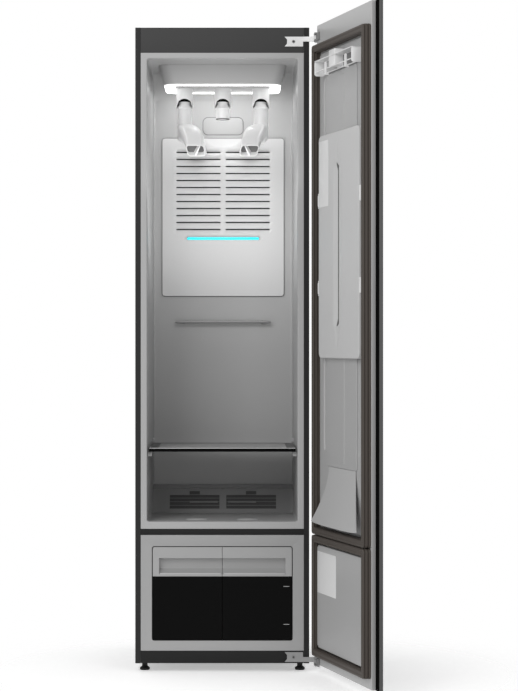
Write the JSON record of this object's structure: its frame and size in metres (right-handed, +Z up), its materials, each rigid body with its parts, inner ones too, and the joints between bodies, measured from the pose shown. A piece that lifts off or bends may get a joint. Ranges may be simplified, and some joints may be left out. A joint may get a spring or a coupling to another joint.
{
  "type": "clothes care steam cabinet",
  "caption": "Tall steam cabinet for clothes: hanging chamber with air hangers and a light ring, shelf, water tanks and a hinged door with a trouser press.",
  "frame": {"origin": "middle of the box round the whole object, with its door open at 105 degrees, on the floor", "axes": "+X to the right as seen from the front, +Y to the rear, +Z up"},
  "size_m": [0.6756, 1.1066, 1.85],
  "materials": {
    "casing": "satin",
    "dark_rail": "satin",
    "zinc_sheet": "satin",
    "hinge_steel": "satin",
    "rail_steel": "satin",
    "liner": "satin",
    "panel_grey": "satin",
    "white_plastic": "satin",
    "ring_light": "satin",
    "cyan_light": "gloss",
    "smoke": "gloss",
    "tank_black": "gloss",
    "gasket_rubber": "matte",
    "black_plastic": "matte",
    "foam": "matte",
    "compressor_can": "satin",
    "exchanger_fins": "satin",
    "boiler_steel": "satin"
  },
  "bodies": {
    "cabinet": {"left_side_panel": "casing", "right_side_panel": "casing", "top_panel": "casing", "rear_panel": "zinc_sheet", "base_tray": "zinc_sheet", "top_fascia": "casing", "divider_rail": "dark_rail", "plinth_rail": "dark_rail", "chamber_liner": "liner", "foam_insulation": "foam", "ceiling_housing": "panel_grey", "ceiling_light_ring": "ring_light", "rear_air_panel": "liner", "rear_light_bar": "cyan_light", "rear_rail": "rail_steel", "nozzle_socket_left": "white_plastic", "nozzle_socket_centre": "white_plastic", "nozzle_socket_right": "white_plastic", "floor_unit_cover": "smoke", "lower_panel": "panel_grey", "air_duct": "white_plastic", "blower_housing": "black_plastic", "compressor": "compressor_can", "heat_exchanger": "exchanger_fins", "steam_generator": "boiler_steel", "water_pump": "black_plastic", "control_box": "white_plastic", "hinge_plate_top": "hinge_steel", "hinge_plate_bottom": "hinge_steel"},
    "foot_front_left": {"levelling_foot_front_left": "black_plastic"},
    "foot_front_right": {"levelling_foot_front_right": "black_plastic"},
    "foot_rear_left": {"levelling_foot_rear_left": "black_plastic"},
    "foot_rear_right": {"levelling_foot_rear_right": "black_plastic"},
    "door": {"door_front_slab": "casing", "door_foam": "foam", "door_inner_plate": "liner", "door_gasket_upper": "gasket_rubber", "door_gasket_lower": "gasket_rubber", "hinge_bracket_top": "hinge_steel", "hinge_bracket_bottom": "hinge_steel", "press_board": "liner", "press_hinge_upper": "white_plastic", "press_hinge_lower": "white_plastic", "trouser_guide": "white_plastic", "clip_bar": "white_plastic"},
    "press": {"press_plate": "liner"},
    "clip_near": {"clip_lever_near": "white_plastic"},
    "clip_far": {"clip_lever_far": "white_plastic"},
    "hanger_left": {"air_hanger_left": "white_plastic"},
    "hanger_right": {"air_hanger_right": "white_plastic"},
    "nozzle": {"centre_nozzle": "white_plastic"},
    "shelf": {"shelf_frame": "black_plastic", "shelf_panel": "panel_grey"},
    "filter_left": {"lint_filter_left": "smoke"},
    "filter_right": {"lint_filter_right": "smoke"},
    "drain_tank": {"drain_tank_body": "tank_black", "drain_tank_lid": "panel_grey"},
    "supply_tank": {"supply_tank_body": "tank_black", "supply_tank_lid": "panel_grey"},
    "wheel": {"blower_wheel": "black_plastic"}
  },
  "joints": [
    {"name": "door_swing", "type": "hinge", "parent": "cabinet", "child": "door", "pos_m": [0.18219, -0.03474, 0.94], "axis": [0, 0, 1], "range_deg": [-105, 15]},
    {"name": "press_plate_swing", "type": "hinge", "parent": "door", "child": "press", "pos_m": [0.18804, -0.13307, 1.22], "axis": [0, 0, -1], "range_deg": [0, 95]},
    {"name": "clip_near_pivot", "type": "hinge", "parent": "door", "child": "clip_near", "pos_m": [0.19922, -0.24862, 1.702], "axis": [-0.2588, 0.9659, 0], "range_deg": [0, 20], "stiffness_Nm_per_rad": 0.05, "springref_deg": -10},
    {"name": "clip_far_pivot", "type": "hinge", "parent": "door", "child": "clip_far", "pos_m": [0.24555, -0.42152, 1.702], "axis": [-0.2588, 0.9659, 0], "range_deg": [0, 20], "stiffness_Nm_per_rad": 0.05, "springref_deg": -10},
    {"name": "hanger_left_turn", "type": "hinge", "parent": "cabinet", "child": "hanger_left", "pos_m": [-0.20181, 0.25326, 1.66], "axis": [0, 0, -1], "range_deg": [-17, 17]},
    {"name": "hanger_right_turn", "type": "hinge", "parent": "cabinet", "child": "hanger_right", "pos_m": [0.02619, 0.25326, 1.66], "axis": [0, 0, 1], "range_deg": [-17, 17]},
    {"name": "centre_nozzle_pull", "type": "slide", "parent": "cabinet", "child": "nozzle", "axis": [0, 0, -1], "range_m": [0, 0.03]},
    {"name": "shelf_slide", "type": "slide", "parent": "cabinet", "child": "shelf", "axis": [0, -1, 0], "range_m": [0, 0.2]},
    {"name": "filter_left_slide", "type": "slide", "parent": "cabinet", "child": "filter_left", "axis": [0, 0.4158, 0.9095], "range_m": [0, 0.07]},
    {"name": "filter_right_slide", "type": "slide", "parent": "cabinet", "child": "filter_right", "axis": [0, 0.4158, 0.9095], "range_m": [0, 0.07]},
    {"name": "drain_tank_slide", "type": "slide", "parent": "cabinet", "child": "drain_tank", "axis": [0, -1, 0], "range_m": [0, 0.24]},
    {"name": "supply_tank_slide", "type": "slide", "parent": "cabinet", "child": "supply_tank", "axis": [0, -1, 0], "range_m": [0, 0.24]},
    {"name": "blower_spin", "type": "hinge", "parent": "cabinet", "child": "wheel", "pos_m": [-0.06781, 0.47176, 0.168], "axis": [0, 1, 0], "continuous": true},
    {"name": "foot_front_left_turn", "type": "hinge", "parent": "cabinet", "child": "foot_front_left", "pos_m": [-0.31181, 0.03526, 0.02], "axis": [0, 0, 1], "continuous": true},
    {"name": "foot_front_right_turn", "type": "hinge", "parent": "cabinet", "child": "foot_front_right", "pos_m": [0.13619, 0.03526, 0.02], "axis": [0, 0, 1], "continuous": true},
    {"name": "foot_rear_left_turn", "type": "hinge", "parent": "cabinet", "child": "foot_rear_left", "pos_m": [-0.31181, 0.50826, 0.02], "axis": [0, 0, 1], "continuous": true},
    {"name": "foot_rear_right_turn", "type": "hinge", "parent": "cabinet", "child": "foot_rear_right", "pos_m": [0.13619, 0.50826, 0.02], "axis": [0, 0, 1], "continuous": true}
  ]
}
